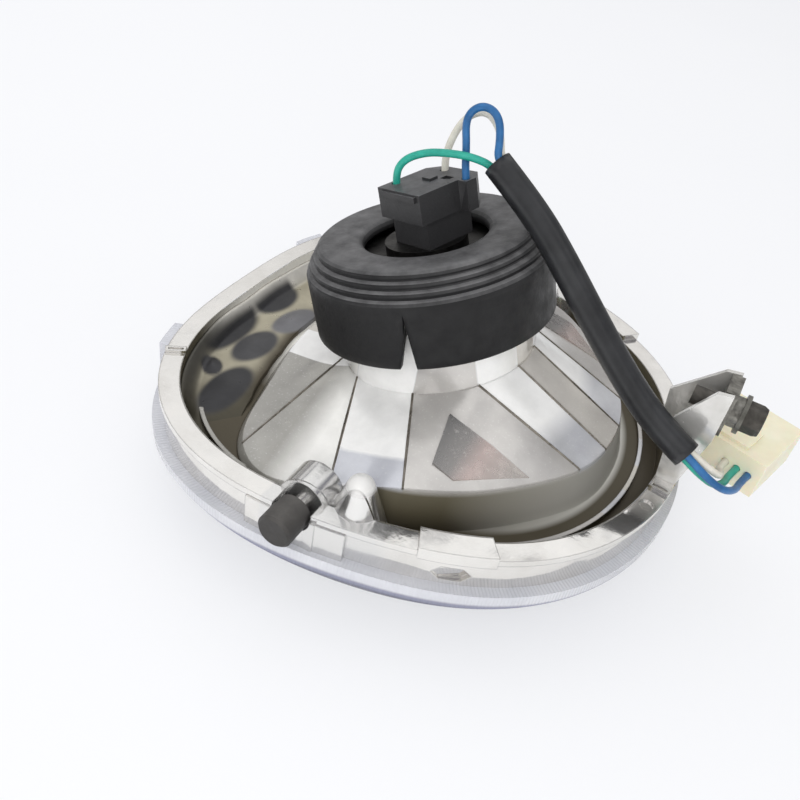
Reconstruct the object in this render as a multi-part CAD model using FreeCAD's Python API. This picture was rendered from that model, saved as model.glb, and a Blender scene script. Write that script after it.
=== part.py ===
import FreeCAD, Part
import math
import os

# Motor scooter headlight, seen from its back and lying on its lens. Lengths in mm, +Z up.
# Built in the rim's frame: z = 0 is the top of the rim flange, +X points to the adjuster
# bracket, the two pivot studs point to -Y and +Y. The neck's axis leans towards -X.

V = FreeCAD.Vector

# Rim outline: a circle with a small share of the second, third and fourth harmonic
RIM_R = 82.4
RIM_2 = 0.006
RIM_3 = 0.044
RIM_4 = -0.027
RIM_POINTS = 48
FLANGE_W = 6.4
FLANGE_T = 2.2
WALL_INSET = 1.2
WALL_H = 12.6
FLOOR_T = 2.0
LEDGE_W = 5.3
LEDGE_H = 1.4
RIB_T = 1.3
RIB_H = 1.1

# Lens
LENS_OVER = 2.2
LENS_T = 2.8
LENS_BAND = 4.6
LENS_DOME = 17.0
TONGUE_T = 1.8
TONGUE_H = 5.0
GROOVE_CLEAR = 0.15
GROOVE_INSET = 3.0
TAB_W = 11.0
TAB_T = 3.2
TAB_ANGLE = 152.0
TAB_RISE = 11.6
TAB_CLEAR = 0.2

# Neck and bowl, along and about the leaning axis
RAKE = 19.0
AXIS_X = 4.0
NECK_R = 30.0
NECK_T = 2.4
NECK_FOOT = 9.1
NECK_TOP = 40.0
SEAT_T = 2.5
BOWL_T = 2.2
BOWL_DRAFT = 4.5
# Facets of the bowl on one side: angle at the neck, angle on the rim, distance in from the rim, height
FACETS = ((-12, -6, 22.2, 3.5), (-41, -19, 22.8, 3.5), (-60, -35, 24.0, 3.4), (-70, -52, 21.5, 3.4),
          (-79, -71, 17.1, 3.2), (-100, -81, 15.6, 1.0), (-122, -89, 14.6, -2.0), (-140, -106, 12.6, -6.0),
          (-155, -116, 17.5, -6.4), (-166, -134, 32.0, -5.5), (-176, -160, 34.0, -4.2))
# Rows of the table above whose line runs all the way up to the neck
RIDGES = (0, 1, 4, 5, 6, 7, 8, 9, 10)

# Bosses and details on the rim
STUD_X = -1.2
STUD_Z = -1.8
STUD_R = 2.4
STUD_IN = 12.5
STUD_OUT = 6.6
SADDLE_R = 7.2
SADDLE_IN = 14.5
SADDLE_NOTCH = 5.0
PAD_W = 30.0
PAD_T = 1.6
NOSE_ANGLE = -79.8
NOSE_IN = 9.5
NOSE_R = 10.8
NOSE_TIP_R = 4.0
NOSE_TOP = 10.6
SNAP_ANGLE = 58.0
SNAP_SPAN = 15.0
SNAP_RISE = 2.0
SNAP_OUT = 0.9
EYE_L = 11.0
EYE_H = 5.0
EYE_DEPTH = 1.2
EYE_Z = -8.6
BAR_ANGLE = 145.0
BAR_END_ANGLE = -6.5
BAR_W = 2.4
BAR_H = 1.0
BAR_SLOT = 0.9
DIMPLE_ANGLE = -12.5
DIMPLE_R = 2.0
DIMPLE_DEPTH = 0.6

# Pivot caps
CAP_R = 5.2
CAP_L = 10.1
CAP_BASE = 1.6
CAP_CHAMFER = 0.8
CAP_FREE = 5.7
CAP_STEP = 0.25
CAP_CLEAR = 0.1
CAP_GAP = 0.5

# Boot, as radii and heights on the neck's axis
BOOT_R = 37.5
BOOT_LOW = 21.6
BOOT_SHOULDER = 40.5
BOOT_TOP = 48.9
BOOT_TOP_R = 31.5
BOOT_HOLE_R = 18.8
BOOT_SKIRT_T = 2.6
BOOT_LIP_H = 4.4
BOOT_CLEAR = 0.15
BOOT_GRIP = 9.0
TEAR_ANGLE = -74.0
TEAR_W = 4.8
TEAR_TOP = 38.5

# Bulb
BULB_FLANGE_R = 21.5
BULB_FLANGE_T = 2.5
BULB_COLLAR_R = 18.8
BULB_COLLAR_H = 4.0
BULB_CLEAR = 0.2
BULB_TOWER_R = 12.5
BULB_TOWER_H = 3.5
BULB_GLASS_R = 8.6
BULB_GLASS_L = 44.0
BLADE_W = 7.0
BLADE_T = 0.8
BLADE_L = 7.5
BLADE_SPREAD = 5.0
BLADE_CLEAR = 0.2

# Socket on the bulb
SOCKET_TURN = -20.0
SOCKET_U = 2.2
SOCKET_V = 1.5
BODY_U = 14.8
BODY_V = 17.4
BODY_H = 8.5
HEAD_U = 17.9
HEAD_V = 23.0
HEAD_H = 8.8
HEAD_CHAMFER = 4.0
HEAD_EAR = 3.4
HEAD_RIM = 0.8
WIRE_R = 1.1
WIRE_CLEAR = 0.15
WIRE_IN = 5.0

# Harness
SLEEVE_R = 4.3
SLEEVE_BORE = 3.5
BUNDLE_R = 1.4

# Bracket and its bolt
BRACKET_Y = 2.9
BRACKET_W = 14.0
BRACKET_T = 1.5
BRACKET_FOOT = 8.0
BRACKET_REACH = 3.2
BRACKET_H = 36.0
BRACKET_BACK = 9.4
BRACKET_FAR = 4.5
BOLT_Z = 27.6
BOLT_R = 2.9
BOLT_CLEAR = 0.2
BOLT_L = 15.0
BOLT_AF = 8.0
BOLT_HEAD = 5.2
WASHER_R = 5.8
WASHER_T = 1.2
NUT_W = 10.0
NUT_H = 13.0
NUT_T = 1.0
NUT_BARREL_R = 4.6
NUT_BARREL_L = 2.6

# Plug
PLUG_L = 26.0
PLUG_W = 24.0
PLUG_H = 12.6
PLUG_TURN = 74.0
PLUG_OUT = 20.4
PLUG_Y = 5.3
PLUG_WALL = 1.6
PLUG_DEPTH = 14.0
PLUG_FIRST = 3.5
PLUG_PITCH = 3.7
PLUG_RIB = 1.0
WIRE_SEAT = 4.0
TERM_W = 2.6
TERM_T = 1.0
TERM_L = 11.0


def rim_radius(angle):
    a = math.radians(angle)
    waves = RIM_2 * math.cos(2 * a) + RIM_3 * math.cos(3 * a) + RIM_4 * math.cos(4 * a)
    return RIM_R * (1 + waves)


def rim_point(angle, offset, z):
    r = rim_radius(angle) + offset
    return V(r * math.cos(math.radians(angle)), r * math.sin(math.radians(angle)), z)


def rim_wire(offset, z):
    points = [rim_point(360.0 * i / RIM_POINTS, offset, z) for i in range(RIM_POINTS)]
    curve = Part.BSplineCurve()
    curve.interpolate(Points=points, PeriodicFlag=True)
    return Part.Wire(curve.toShape())


def rim_prism(offset, low, high):
    return Part.Face(rim_wire(offset, low)).extrude(V(0, 0, high - low))


def rim_band(outer, inner, low, high):
    return rim_prism(outer, low, high).cut(rim_prism(inner, low - 1, high + 1))


def rim_sector(outer, inner, low, high, start, end):
    """Part of a rim band between two angles in degrees."""
    reach = RIM_R * 2
    mid = 0.5 * (start + end)
    corners = [V(0, 0, low - 1)]
    for a in (start, mid, end):
        corners.append(V(reach * math.cos(math.radians(a)), reach * math.sin(math.radians(a)), low - 1))
    corners.append(corners[0])
    wedge = Part.Face(Part.makePolygon(corners)).extrude(V(0, 0, high - low + 2))
    return rim_band(outer, inner, low, high).common(wedge)


def box(x0, x1, y0, y1, z0, z1):
    return Part.makeBox(x1 - x0, y1 - y0, z1 - z0, V(x0, y0, z0))


def turned(shape, angle):
    shape.rotate(V(0, 0, 0), V(0, 0, 1), angle)
    return shape


def mirrored(shape):
    return shape.mirror(V(0, 0, 0), V(0, 1, 0))


def leaned(shape):
    """From the neck's own frame, where Z is the neck's axis, to the rim's frame."""
    shape.rotate(V(0, 0, 0), V(0, 1, 0), -RAKE)
    shape.translate(V(AXIS_X, 0, 0))
    return shape


def leaned_point(x, y, h):
    c = math.cos(math.radians(RAKE))
    s = math.sin(math.radians(RAKE))
    return V(AXIS_X + x * c - h * s, y, x * s + h * c)


def ring(points):
    """Solid of revolution about Z from a closed list of (radius, height)."""
    profile = [V(r, 0, h) for r, h in points]
    profile.append(profile[0])
    return Part.Face(Part.makePolygon(profile)).revolve(V(0, 0, 0), V(0, 0, 1), 360)


def bowl_rows(inset):
    """Facet rows all the way round, each a neck angle and a crease point moved in by the inset."""
    rows = []
    for neck, rim, inward, height in FACETS:
        rows.append((neck, rim_point(rim, -inward - inset, height - inset)))
    for neck, rim, inward, height in reversed(FACETS):
        rows.append((-neck, rim_point(-rim, -inward - inset, height - inset)))
    return rows


def crease_line(points):
    """Smooth closed curve through the points, and its parameter at each of them."""
    curve = Part.BSplineCurve()
    curve.interpolate(Points=points, PeriodicFlag=True)
    places = [curve.parameter(p) for p in points]
    places[0] = curve.FirstParameter
    places.append(curve.LastParameter)
    return curve, places


def neck_arc(radius, height, start, end):
    """Arc of the neck's circle between two of its angles, the shorter way round."""
    if end > start:
        end -= 360
    points = []
    for angle in (start, (start + end) / 2, end):
        a = math.radians(angle)
        points.append(leaned_point(radius * math.cos(a), radius * math.sin(a), height))
    return Part.Arc(*points).toShape()


def bowl_body(neck_r, foot, inset, low):
    """Bowl of ruled petals from the neck's foot out to the crease, then down its drafted side to one level."""
    rows = bowl_rows(inset)
    feet = []
    for neck, crease in rows:
        spread = 1 + BOWL_DRAFT / math.hypot(crease.x, crease.y)
        feet.append(V(crease.x * spread, crease.y * spread, low))
    crease, crease_at = crease_line([row[1] for row in rows])
    base, base_at = crease_line(feet)
    keys = [i for i in RIDGES] + [len(rows) - 1 - i for i in reversed(RIDGES)]
    tops = []
    bottoms = []
    faces = []
    for i, k in zip(keys, keys[1:] + [len(rows)]):
        top = neck_arc(neck_r, foot, rows[i][0], rows[k % len(rows)][0])
        edge = crease.toShape(crease_at[i], crease_at[k])
        bottom = base.toShape(base_at[i], base_at[k])
        tops.append(top)
        bottoms.append(bottom)
        faces.append(Part.makeRuledSurface(top, edge))
        faces.append(Part.makeRuledSurface(edge, bottom))
    faces.append(Part.Face(Part.Wire(tops)))
    faces.append(Part.Face(Part.Wire(bottoms)))
    shell = Part.Shell(faces)
    shell.sewShape()
    solid = Part.Solid(shell)
    if solid.Volume < 0:
        solid.reverse()
    return solid


def above(shape, z):
    reach = RIM_R * 3
    return shape.common(box(-reach, reach, -reach, reach, z, z + reach))


def stud_wall():
    """Distance from the lamp's middle to the flange edge at a pivot stud."""
    return rim_radius(-90.0)


def saddle():
    """Rounded boss that carries a pivot stud on the -Y side."""
    wall = stud_wall()
    face = -wall + SADDLE_NOTCH
    back = Part.makeCylinder(SADDLE_R, SADDLE_IN - SADDLE_NOTCH, V(STUD_X, face, STUD_Z), V(0, 1, 0))
    foot = box(STUD_X - SADDLE_R, STUD_X + SADDLE_R, -wall, -wall + SADDLE_IN, -WALL_H, STUD_Z)
    return back.fuse(foot)


def pad():
    """Wall pad below the stud, standing a little proud of the wall."""
    half = math.degrees(PAD_W / 2 / RIM_R)
    return rim_sector(-WALL_INSET + PAD_T, -FLANGE_W, -WALL_H, -FLANGE_T, -90 - half, -90 + half)


def nose():
    """Cone between the flange and the bowl with a ball tip tangent to it, flush with the outer wall."""
    place = rim_point(NOSE_ANGLE, -NOSE_IN, 0)
    centre = NOSE_TOP - NOSE_TIP_R
    rise = centre + WALL_H
    slope = math.atan2(NOSE_R, rise) - math.asin(NOSE_TIP_R / math.hypot(NOSE_R, rise))
    height = rise + NOSE_TIP_R * math.sin(slope)
    cone = Part.makeCone(NOSE_R, NOSE_TIP_R * math.cos(slope), height, V(place.x, place.y, -WALL_H))
    tip = Part.makeSphere(NOSE_TIP_R, V(place.x, place.y, centre))
    return cone.fuse(tip).common(rim_prism(-WALL_INSET, -WALL_H, NOSE_TOP + 1))


def snap_ledge():
    """Raised ledge on the flange and wall, with the snap window below it."""
    start = -SNAP_ANGLE - SNAP_SPAN / 2
    end = -SNAP_ANGLE + SNAP_SPAN / 2
    top = rim_sector(SNAP_OUT, -FLANGE_W, -FLANGE_T, SNAP_RISE, start, end)
    return top


def snap_window():
    """Long hexagon sunk into the outer wall under the ledge, as a cutting body."""
    r = rim_radius(-SNAP_ANGLE) - WALL_INSET
    half = EYE_L / 2
    points = [V(r - EYE_DEPTH, -half, EYE_Z), V(r - EYE_DEPTH, -half + EYE_H / 2, EYE_Z + EYE_H / 2),
              V(r - EYE_DEPTH, half - EYE_H / 2, EYE_Z + EYE_H / 2), V(r - EYE_DEPTH, half, EYE_Z),
              V(r - EYE_DEPTH, half - EYE_H / 2, EYE_Z - EYE_H / 2),
              V(r - EYE_DEPTH, -half + EYE_H / 2, EYE_Z - EYE_H / 2)]
    points.append(points[0])
    cut = Part.Face(Part.makePolygon(points)).extrude(V(EYE_DEPTH * 3, 0, 0))
    return turned(cut, -SNAP_ANGLE)


def flange_bar(angle):
    """Low bar across the flange with a slot in its top."""
    r = rim_radius(angle)
    bar = box(r - FLANGE_W, r, -BAR_W / 2, BAR_W / 2, -FLANGE_T, BAR_H)
    slot = box(r - FLANGE_W + BAR_SLOT, r - BAR_SLOT, -BAR_SLOT / 2, BAR_SLOT / 2, BAR_H - BAR_SLOT, BAR_H + 1)
    return turned(bar.cut(slot), angle)


def reflector_housing():
    seam = -WALL_H
    floor = seam + FLOOR_T
    rim = rim_prism(0, -FLANGE_T, 0).fuse(rim_prism(-WALL_INSET, seam, -FLANGE_T))
    for extra in (pad(), snap_ledge()):
        rim = rim.fuse(extra).fuse(mirrored(extra))
    rim = rim.cut(rim_prism(-FLANGE_W, floor, SNAP_RISE + 1))
    ledge = rim_prism(-FLANGE_W - LEDGE_W, floor, floor + LEDGE_H)
    rib = rim_band(-FLANGE_W - LEDGE_W, -FLANGE_W - LEDGE_W - RIB_T, floor, floor + LEDGE_H + RIB_H)
    bowl = bowl_body(NECK_R + 0.4, NECK_FOOT, 0, seam)
    neck = Part.makeCylinder(NECK_R, NECK_TOP - NECK_FOOT + 3, V(0, 0, NECK_FOOT - 3))
    outer = bowl.fuse(leaned(neck))
    body = rim.fuse(ledge).fuse(rib).fuse(outer)
    for extra in (saddle(), nose()):
        body = body.fuse(extra).fuse(mirrored(extra))
    for angle in (BAR_ANGLE, -BAR_ANGLE, BAR_END_ANGLE):
        body = body.fuse(flange_bar(angle))
    inner = bowl_body(NECK_R - NECK_T, NECK_FOOT - BOWL_T, BOWL_T, seam - 1)
    bore = Part.makeCylinder(NECK_R - NECK_T, NECK_TOP - SEAT_T - NECK_FOOT + 3, V(0, 0, NECK_FOOT - 3))
    hole = Part.makeCylinder(BULB_COLLAR_R + BULB_CLEAR, SEAT_T + 4, V(0, 0, NECK_TOP - SEAT_T - 2))
    body = body.cut(inner).cut(leaned(bore.fuse(hole)))
    groove = rim_band(-GROOVE_INSET, -GROOVE_INSET - TONGUE_T - 2 * GROOVE_CLEAR, seam - 1,
                      seam + TONGUE_H + GROOVE_CLEAR)
    body = body.cut(groove)
    window = snap_window()
    body = body.cut(window).cut(mirrored(window))
    spot = rim_point(DIMPLE_ANGLE, -FLANGE_W / 2, -DIMPLE_DEPTH)
    body = body.cut(Part.makeCylinder(DIMPLE_R, DIMPLE_DEPTH + 1, spot))
    for side in (-1, 1):
        hole = Part.makeCylinder(STUD_R, STUD_IN + 20, V(STUD_X, side * (stud_wall() - STUD_IN), STUD_Z),
                                 V(0, side, 0))
        notch = Part.makeCylinder(CAP_R + CAP_GAP, SADDLE_NOTCH + 20,
                                  V(STUD_X, side * (stud_wall() - SADDLE_NOTCH), STUD_Z), V(0, side, 0))
        body = body.cut(hole).cut(notch)
    return body.removeSplitter()


def dome_ball(shrink):
    """Ball whose lower cap forms the lens dome."""
    reach = RIM_R + LENS_OVER
    radius = (reach * reach + LENS_DOME * LENS_DOME) / (2 * LENS_DOME)
    low = -WALL_H - LENS_BAND - LENS_DOME
    return Part.makeSphere(radius - shrink, V(0, 0, low + radius))


def lens_tab(angle):
    """Snap tab of the lens, standing outside the wall and level with the flange."""
    half = math.degrees(TAB_W / 2 / RIM_R)
    low = -WALL_H - LENS_BAND / 2
    return rim_sector(TAB_CLEAR + TAB_T, TAB_CLEAR, low, -WALL_H + TAB_RISE, angle - half, angle + half)


def lens():
    seam = -WALL_H
    low = seam - LENS_BAND - LENS_DOME
    outer = rim_prism(LENS_OVER, low - 1, seam).common(dome_ball(0))
    inner = rim_prism(LENS_OVER - LENS_T, low - 1, seam + 1).common(dome_ball(LENS_T))
    tongue = rim_band(-GROOVE_INSET - GROOVE_CLEAR, -GROOVE_INSET - GROOVE_CLEAR - TONGUE_T, seam - 1,
                      seam + TONGUE_H)
    shelf = rim_band(LENS_OVER, -GROOVE_INSET - GROOVE_CLEAR - TONGUE_T, seam - LENS_T, seam)
    body = outer.cut(inner).fuse(shelf).fuse(tongue)
    for angle in (TAB_ANGLE, -TAB_ANGLE):
        tab = lens_tab(angle)
        root = rim_sector(TAB_CLEAR + TAB_T, LENS_OVER - LENS_T / 2, seam - LENS_BAND / 2, seam,
                          angle - math.degrees(TAB_W / 2 / RIM_R), angle + math.degrees(TAB_W / 2 / RIM_R))
        body = body.fuse(tab).fuse(root)
    return body.removeSplitter()


def rubber_boot():
    r = BOOT_R
    h = BOOT_SHOULDER
    fall = (BOOT_R - BOOT_TOP_R) / 4
    rise = (BOOT_TOP - BOOT_SHOULDER) / 4
    outer = [(r, BOOT_LOW), (r, h)]
    for i in range(3):
        outer.append((r - i * fall - 0.30 * fall, h + i * rise + 0.55 * rise))
        outer.append((r - i * fall - 1.10 * fall, h + i * rise + 0.60 * rise))
        outer.append((r - i * fall - 0.95 * fall, h + i * rise + 1.10 * rise))
    outer.append((BOOT_TOP_R + 0.4 * fall, BOOT_TOP - 0.2 * rise))
    outer.append((BOOT_TOP_R - 0.5 * fall, BOOT_TOP))
    outer.append((BOOT_HOLE_R + 1.8, BOOT_TOP - 0.6))
    outer.append((BOOT_HOLE_R + 0.4, BOOT_TOP - 1.6))
    outer.append((BOOT_HOLE_R, BOOT_TOP - 3.0))
    pocket = BULB_FLANGE_R + 2.5
    grip = NECK_R + BOOT_CLEAR
    inner = [(BOOT_HOLE_R, BOOT_TOP - BOOT_LIP_H), (pocket, BOOT_TOP - BOOT_LIP_H), (pocket, NECK_TOP),
             (grip, NECK_TOP), (grip, NECK_TOP - BOOT_GRIP), (r - BOOT_SKIRT_T, NECK_TOP - BOOT_GRIP - 1),
             (r - BOOT_SKIRT_T, BOOT_LOW)]
    body = ring(outer + inner)
    tear = [V(NECK_R + 1, -TEAR_W / 2, BOOT_LOW - 1), V(NECK_R + 1, TEAR_W / 2, BOOT_LOW - 1),
            V(NECK_R + 1, -TEAR_W * 0.4, TEAR_TOP)]
    tear.append(tear[0])
    cut = Part.Face(Part.makePolygon(tear)).extrude(V(BOOT_R, 0, 0))
    body = body.cut(turned(cut, TEAR_ANGLE))
    return leaned(body)


def bulb_base():
    top = NECK_TOP + BULB_FLANGE_T
    body = ring([(0, NECK_TOP - BULB_COLLAR_H), (BULB_COLLAR_R, NECK_TOP - BULB_COLLAR_H),
                 (BULB_COLLAR_R, NECK_TOP), (BULB_FLANGE_R, NECK_TOP), (BULB_FLANGE_R, top),
                 (BULB_TOWER_R, top), (BULB_TOWER_R, top + BULB_TOWER_H), (0, top + BULB_TOWER_H)])
    return leaned(body)


def bulb_glass():
    top = NECK_TOP - BULB_COLLAR_H
    low = top - BULB_GLASS_L
    body = Part.makeCylinder(BULB_GLASS_R, BULB_GLASS_L - BULB_GLASS_R, V(0, 0, low + BULB_GLASS_R))
    body = body.fuse(Part.makeSphere(BULB_GLASS_R, V(0, 0, low + BULB_GLASS_R)))
    return leaned(body.removeSplitter())


def tower_top():
    return NECK_TOP + BULB_FLANGE_T + BULB_TOWER_H


def socket_place(shape):
    """From the socket's own middle to the neck's frame, then to the rim's frame."""
    shape.translate(V(SOCKET_U, SOCKET_V, 0))
    return leaned(turned(shape, SOCKET_TURN))


def blade_boxes(grow, low, high):
    t = BLADE_T / 2 + grow
    w = BLADE_W / 2 + grow
    return [box(-w, w, BLADE_SPREAD - t, BLADE_SPREAD + t, low, high),
            box(-BLADE_SPREAD - t, -BLADE_SPREAD + t, -BLADE_SPREAD - w + BLADE_W / 2,
                -BLADE_SPREAD + w + BLADE_W / 2, low, high),
            box(BLADE_SPREAD - t, BLADE_SPREAD + t, -BLADE_SPREAD - w + BLADE_W / 2,
                -BLADE_SPREAD + w + BLADE_W / 2, low, high)]


def bulb_blades():
    low = tower_top()
    return Part.makeCompound([socket_place(b) for b in blade_boxes(0, low, low + BLADE_L)])


def wire_holes():
    """Where the three wires leave the top of the socket, in the socket's own frame."""
    return {"green": (-HEAD_U / 2 + 2.3, -HEAD_V / 2 + 5.0), "blue": (HEAD_U / 2 + 1.2, HEAD_V / 2 - 6.0),
            "white": (-HEAD_U / 2 + 7.0, HEAD_V / 2 - 3.0)}


def bulb_connector():
    low = tower_top()
    mid = low + BODY_H
    top = mid + HEAD_H
    body = box(-BODY_U / 2, BODY_U / 2, -BODY_V / 2, BODY_V / 2, low, mid)
    c = HEAD_CHAMFER
    u = HEAD_U / 2
    v = HEAD_V / 2
    outline = [V(-u, -v, mid), V(u, -v, mid), V(u, v - 2 * c, mid), V(u + HEAD_EAR, v - 2 * c, mid),
               V(u + HEAD_EAR, v - c, mid), V(u, v, mid), V(-u + c, v, mid), V(-u, v - c, mid)]
    outline.append(outline[0])
    head = Part.Face(Part.makePolygon(outline)).extrude(V(0, 0, HEAD_H))
    lip = box(-u + 1.5, u - 1.5, -v - HEAD_RIM, -v, top - 2.2, top - 0.6)
    key_a = box(-1.2, 2.2, -1.0, 2.0, top, top + HEAD_RIM)
    key_b = box(2.6, 6.0, 2.4, 5.0, top - HEAD_RIM, top + 1)
    body = body.fuse(head).fuse(lip).fuse(key_a).cut(key_b)
    for slot in blade_boxes(BLADE_CLEAR, low - 1, low + BLADE_L + BLADE_CLEAR):
        body = body.cut(slot)
    for u0, v0 in wire_holes().values():
        body = body.cut(Part.makeCylinder(WIRE_R + WIRE_CLEAR, WIRE_IN + 1, V(u0, v0, top - WIRE_IN)))
    return socket_place(body.removeSplitter())


def socket_point(u, v, h):
    a = math.radians(SOCKET_TURN)
    x = (u + SOCKET_U) * math.cos(a) - (v + SOCKET_V) * math.sin(a)
    y = (u + SOCKET_U) * math.sin(a) + (v + SOCKET_V) * math.cos(a)
    return leaned_point(x, y, h)


# Middle line of the sleeve, in the neck's frame
SLEEVE_POINTS = ((23.4, 3.9, 67.2), (34.3, 1.4, 55.2), (43.4, -2.4, 42.6), (53.0, -4.9, 25.6),
                 (62.6, -6.3, 8.6), (71.6, -8.8, -2.4), (80.2, -10.6, -9.6))

# Free stretches above the sleeve, in the neck's frame, after the straight start in the socket
UPPER_POINTS = {
    "green": ((-2.4, -2.8, 70.2), (4.4, -1.6, 71.9), (11.0, -0.6, 71.4), (17.2, 1.2, 69.8)),
    "blue": ((14.2, 4.4, 71.8), (14.1, 5.6, 78.2), (16.1, 6.2, 81.1), (19.3, 6.4, 82.2), (22.5, 6.2, 81.1),
             (24.5, 5.4, 78.2), (24.5, 4.4, 73.4)),
    "white": ((6.6, 11.4, 72.8), (11.6, 12.4, 78.2), (17.8, 11.8, 79.6), (22.2, 9.4, 76.2), (23.7, 6.7, 72.8)),
}

# Free stretches below the sleeve, in the rim's frame, before the straight end in the plug
LOWER_POINTS = {
    "green": ((88.0, -11.0, 13.0), (93.2, -9.0, 9.8), (95.8, -3.4, 7.6)),
    "blue": ((90.5, -12.4, 13.8), (96.0, -10.6, 10.8), (99.2, -5.0, 8.2)),
    "white": ((88.6, -9.7, 15.6), (93.3, -7.1, 12.2), (94.0, -1.3, 9.0)),
}
BUNDLE_TURN = {"green": 270.0, "blue": 150.0, "white": 30.0}


def sleeve_line():
    return [leaned_point(*p) for p in SLEEVE_POINTS]


def bundle_line(turn):
    """Points at one place of the bundle along the sleeve, from its mouth to its lower end."""
    line = sleeve_line()
    side = V(0, 1, 0)
    out = []
    for i, p in enumerate(line):
        before = line[max(i - 1, 0)]
        after = line[min(i + 1, len(line) - 1)]
        along = after.sub(before)
        along.normalize()
        side = side.sub(along * side.dot(along))
        side.normalize()
        other = along.cross(side)
        a = math.radians(turn)
        out.append(p + side * (BUNDLE_R * math.cos(a)) + other * (BUNDLE_R * math.sin(a)))
    return out


def plug_axes():
    a = math.radians(PLUG_TURN)
    return V(math.cos(a), math.sin(a), 0), V(-math.sin(a), math.cos(a), 0)


def plug_corner():
    return V(rim_radius(0) + PLUG_OUT, PLUG_Y, 0)


def plug_entry(index):
    """Middle of a wire's entry hole on the near face of the plug."""
    along, across = plug_axes()
    return plug_corner() + across * plug_places()[index] + V(0, 0, PLUG_H / 2)


WIRE_ORDER = {"blue": 0, "green": 1, "white": 2}


def wire_line(colour):
    top = tower_top() + BODY_H + HEAD_H
    u, v = wire_holes()[colour]
    start = socket_point(u, v, top - WIRE_IN)
    lift = socket_point(u, v, top + 2.2)
    inside = bundle_line(BUNDLE_TURN[colour])
    along, across = plug_axes()
    entry = plug_entry(WIRE_ORDER[colour])
    end = entry + along * WIRE_SEAT
    near = entry - along * 5.0
    upper = [leaned_point(*p) for p in UPPER_POINTS[colour]]
    lower = [V(*p) for p in LOWER_POINTS[colour]]
    return [start, lift] + upper + inside + lower + [near, end]


def cord_path(points, name):
    """Straight runs joined by tangent arcs."""
    edges = []
    last = points[0]
    tightest = None
    length = 0.0
    for before, here, after in zip(points[:-2], points[1:-1], points[2:]):
        d1 = here.sub(before)
        d2 = after.sub(here)
        l1 = d1.Length
        l2 = d2.Length
        d1.normalize()
        d2.normalize()
        half = 0.5 * math.acos(max(-1.0, min(1.0, d1.dot(d2))))
        reach = 0.45 * min(l1, l2)
        radius = reach / math.tan(half)
        tightest = radius if tightest is None else min(tightest, radius)
        inward = d2.sub(d1)
        inward.normalize()
        centre = here + inward * (radius / math.cos(half))
        first = here - d1 * reach
        second = here + d2 * reach
        middle = centre - inward * radius
        edges.append(Part.LineSegment(last, first).toShape())
        edges.append(Part.Arc(first, middle, second).toShape())
        length += first.sub(last).Length + 2 * half * radius
        last = second
    edges.append(Part.LineSegment(last, points[-1]).toShape())
    length += points[-1].sub(last).Length
    print(name, "length", round(length, 1), "tightest radius", round(tightest, 1))
    return Part.Wire(edges), length


def cord(points, radius, name):
    path, length = cord_path(points, name)
    along = points[1].sub(points[0])
    profile = Part.Wire(Part.makeCircle(radius, points[0], along))
    solid = path.makePipeShell([profile], True, False)
    print(name, "volume share", round(solid.Volume / (math.pi * radius * radius * length), 3))
    return solid


def harness_sleeve():
    line = sleeve_line()
    return cord(line, SLEEVE_R, "sleeve").cut(cord(line, SLEEVE_BORE, "sleeve bore"))


def wire(colour):
    return cord(wire_line(colour), WIRE_R, "wire " + colour)


def web_x():
    """Outer face of the bracket's web."""
    return rim_radius(0) + BRACKET_REACH


def adjuster_bracket():
    out = web_x()
    back = out - BRACKET_BACK
    foot = rim_radius(0) - FLANGE_W
    half = BRACKET_W / 2
    plates = []
    for y, longer in ((BRACKET_Y - half, 0), (BRACKET_Y + half - BRACKET_T, BRACKET_FAR)):
        side = [V(foot, y, 0), V(foot + BRACKET_FOOT - 2.0, y, 0), V(out, y, BRACKET_H * 0.55), V(out, y, BRACKET_H),
                V(out - 4.4, y, BRACKET_H - 0.8), V(back - 2.6 - longer, y, BRACKET_H * 0.62),
                V(foot - 0.6 - longer, y, 6.0)]
        side.append(side[0])
        plates.append(Part.Face(Part.makePolygon(side)).extrude(V(0, BRACKET_T, 0)))
    body = plates[0].fuse(plates[1])
    body = body.fuse(box(foot, foot + BRACKET_FOOT - 2.0, BRACKET_Y - half, BRACKET_Y + half, 0, BRACKET_T))
    web = box(out - BRACKET_T, out, BRACKET_Y - half, BRACKET_Y + half, BRACKET_H * 0.55, BRACKET_H - 1.2)
    hole = Part.makeCylinder(BOLT_R + BOLT_CLEAR, BRACKET_T + 2, V(out - BRACKET_T - 1, BRACKET_Y, BOLT_Z), V(1, 0, 0))
    return body.fuse(web).cut(hole).removeSplitter()


def clip_nut():
    out = web_x()
    inner = out - BRACKET_T
    top = BRACKET_H - 1.2
    low = BOLT_Z - NUT_H / 2
    w = NUT_W / 2
    body = box(out, out + NUT_T, BRACKET_Y - w, BRACKET_Y + w, low, top + NUT_T)
    body = body.fuse(box(inner - NUT_T, inner, BRACKET_Y - w, BRACKET_Y + w, low, top + NUT_T))
    body = body.fuse(box(inner, out, BRACKET_Y - w, BRACKET_Y + w, top, top + NUT_T))
    barrel = Part.makeCylinder(NUT_BARREL_R, NUT_BARREL_L, V(out + NUT_T, BRACKET_Y, BOLT_Z), V(1, 0, 0))
    hole = Part.makeCylinder(BOLT_R + BOLT_CLEAR, 30, V(inner - 10, BRACKET_Y, BOLT_Z), V(1, 0, 0))
    return body.fuse(barrel).cut(hole).removeSplitter()


def washer_x():
    return web_x() + NUT_T + NUT_BARREL_L


def bolt_washer():
    ring_out = Part.makeCylinder(WASHER_R, WASHER_T, V(washer_x(), BRACKET_Y, BOLT_Z), V(1, 0, 0))
    hole = Part.makeCylinder(BOLT_R + BOLT_CLEAR, WASHER_T + 2, V(washer_x() - 1, BRACKET_Y, BOLT_Z), V(1, 0, 0))
    return ring_out.cut(hole)


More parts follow.
